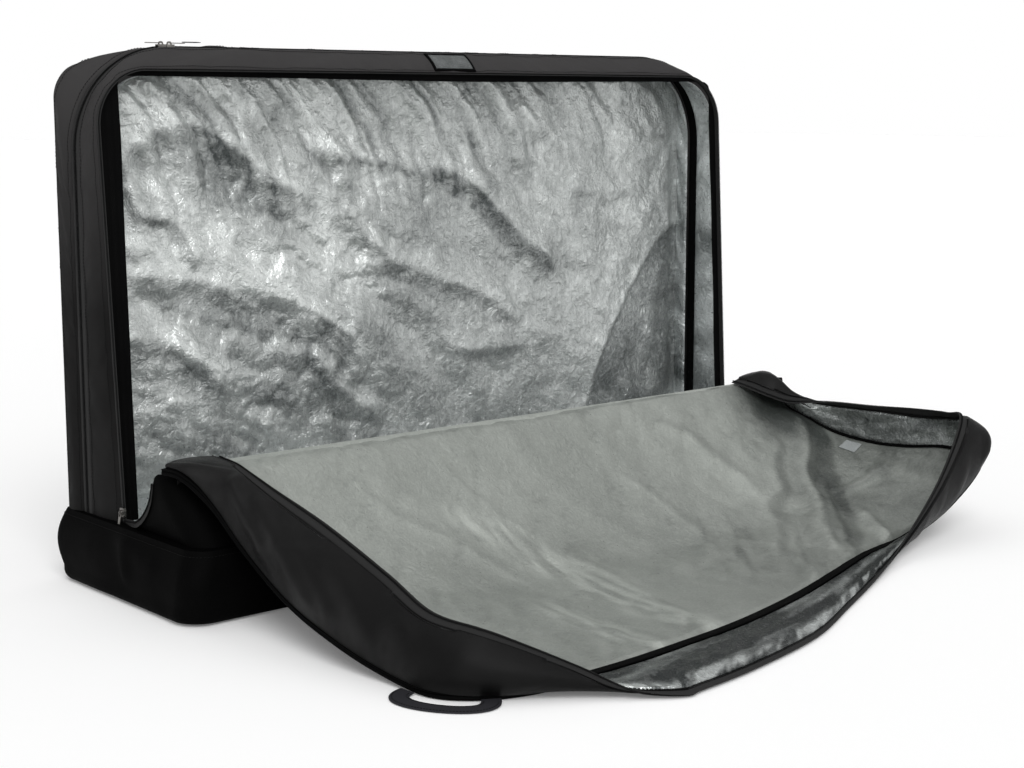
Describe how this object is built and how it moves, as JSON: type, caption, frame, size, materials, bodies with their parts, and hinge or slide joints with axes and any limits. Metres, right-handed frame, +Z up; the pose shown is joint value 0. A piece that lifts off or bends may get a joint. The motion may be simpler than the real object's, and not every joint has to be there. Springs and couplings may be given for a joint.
{
  "type": "soft bike travel bag",
  "caption": "Soft padded travel bag for a bicycle, standing open with its front flap unzipped and laid on the floor.",
  "frame": {"origin": "centre of the base, on the floor", "axes": "+X along the bag's length, +Y towards the back panel, +Z up"},
  "size_m": [1.3083, 0.9905, 0.7889],
  "materials": {
    "shell_cloth": "matte woven nylon",
    "boot_cloth": "coated cloth, low sheen",
    "foam": "closed-cell foam sheet",
    "silver_lining": "crinkled, metallised",
    "flap_lining": "smooth, faint sheen",
    "zip_tape": "matte woven tape",
    "zip_coil": "satin",
    "slider_metal": "nickel plated",
    "webbing": "matte webbing",
    "board": "matte sheet",
    "clear_film": "clear film",
    "card": "matte card",
    "label": "satin label"
  },
  "bodies": {
    "shell": {"boot": "boot_cloth", "boot_wall_foam": "foam", "boot_wall_lining": "silver_lining", "base_board": "board", "base_foam": "foam", "base_lining": "silver_lining", "back_panel_outer": "shell_cloth", "back_panel_foam": "foam", "back_panel_lining": "silver_lining", "rear_gusset_outer": "shell_cloth", "rear_gusset_foam": "foam", "rear_gusset_lining": "silver_lining", "front_gusset_outer": "shell_cloth", "front_gusset_foam": "foam", "front_gusset_lining": "silver_lining", "middle_zip_tape": "zip_tape", "middle_zip_binding": "zip_tape", "middle_zip_coil": "zip_coil", "mouth_zip_tape": "zip_tape", "mouth_zip_coil": "zip_coil", "mouth_binding": "zip_tape", "front_wall_outer": "shell_cloth", "front_wall_foam": "foam", "front_wall_lining": "silver_lining", "cheek_zip_tape_left": "zip_tape", "cheek_zip_tape_right": "zip_tape", "window_frame": "zip_tape", "window_card": "card", "window_film": "clear_film"},
    "flap": {"flap_outer": "shell_cloth", "flap_foam": "foam", "flap_lining": "flap_lining", "care_label": "label", "flap_piping": "zip_tape", "flap_gusset_outer": "shell_cloth", "flap_gusset_foam": "foam", "flap_gusset_lining": "flap_lining", "flap_zip_tape": "zip_tape", "flap_zip_coil": "zip_coil"},
    "grab_handle": {"grab_handle": "webbing"},
    "main_slider_left": {"main_slider_left": "slider_metal"},
    "main_slider_left_pull": {"main_slider_left_pull": "slider_metal"},
    "main_slider_right": {"main_slider_right": "slider_metal"},
    "main_slider_right_pull": {"main_slider_right_pull": "slider_metal"},
    "middle_slider_top": {"middle_slider_top": "slider_metal"},
    "middle_slider_top_pull": {"middle_slider_top_pull": "slider_metal", "middle_slider_cord": "webbing"},
    "middle_slider_corner": {"middle_slider_corner": "slider_metal"},
    "middle_slider_corner_pull": {"middle_slider_corner_pull": "slider_metal"}
  },
  "joints": [
    {"name": "flap_fold", "type": "hinge", "parent": "shell", "child": "flap", "pos_m": [0, -0.117, 0.206], "axis": [-1, 0, 0], "range_deg": [0, 118]},
    {"name": "handle_lift", "type": "hinge", "parent": "flap", "child": "grab_handle", "pos_m": [-0.56429, -0.62399, 0.0046], "axis": [-0.5535, 0.8328, 0], "range_deg": [0, 25]},
    {"name": "main_zip_left", "type": "slide", "parent": "shell", "child": "main_slider_left", "axis": [-0.0047, 0.0577, 0.9983], "range_m": [0, 0.538]},
    {"name": "main_pull_left", "type": "hinge", "parent": "main_slider_left", "child": "main_slider_left_pull", "pos_m": [-0.63444, 0.03639, 0.12074], "axis": [0.0003, 0.9983, -0.0575], "range_deg": [0, 150]},
    {"name": "main_zip_right", "type": "slide", "parent": "shell", "child": "main_slider_right", "axis": [0.0047, 0.0577, 0.9983], "range_m": [0, 0.538]},
    {"name": "main_pull_right", "type": "hinge", "parent": "main_slider_right", "child": "main_slider_right_pull", "pos_m": [0.63444, 0.03639, 0.12074], "axis": [0.0003, -0.9983, 0.0575], "range_deg": [0, 150]},
    {"name": "middle_zip_top", "type": "slide", "parent": "shell", "child": "middle_slider_top", "axis": [1, 0, 0], "range_m": [0, 0.96]},
    {"name": "middle_pull_top", "type": "hinge", "parent": "middle_slider_top", "child": "middle_slider_top_pull", "pos_m": [-0.48, 0.129, 0.78636], "axis": [0, -1, 0], "range_deg": [0, 160]},
    {"name": "middle_zip_corner", "type": "hinge", "parent": "shell", "child": "middle_slider_corner", "pos_m": [-0.487, 0.129, 0.63], "axis": [0, -1, 0], "range_deg": [0, 88]},
    {"name": "middle_pull_corner", "type": "hinge", "parent": "middle_slider_corner", "child": "middle_slider_corner_pull", "pos_m": [-0.494, 0.129, 0.78636], "axis": [0, 1, 0], "range_deg": [0, 160]}
  ]
}
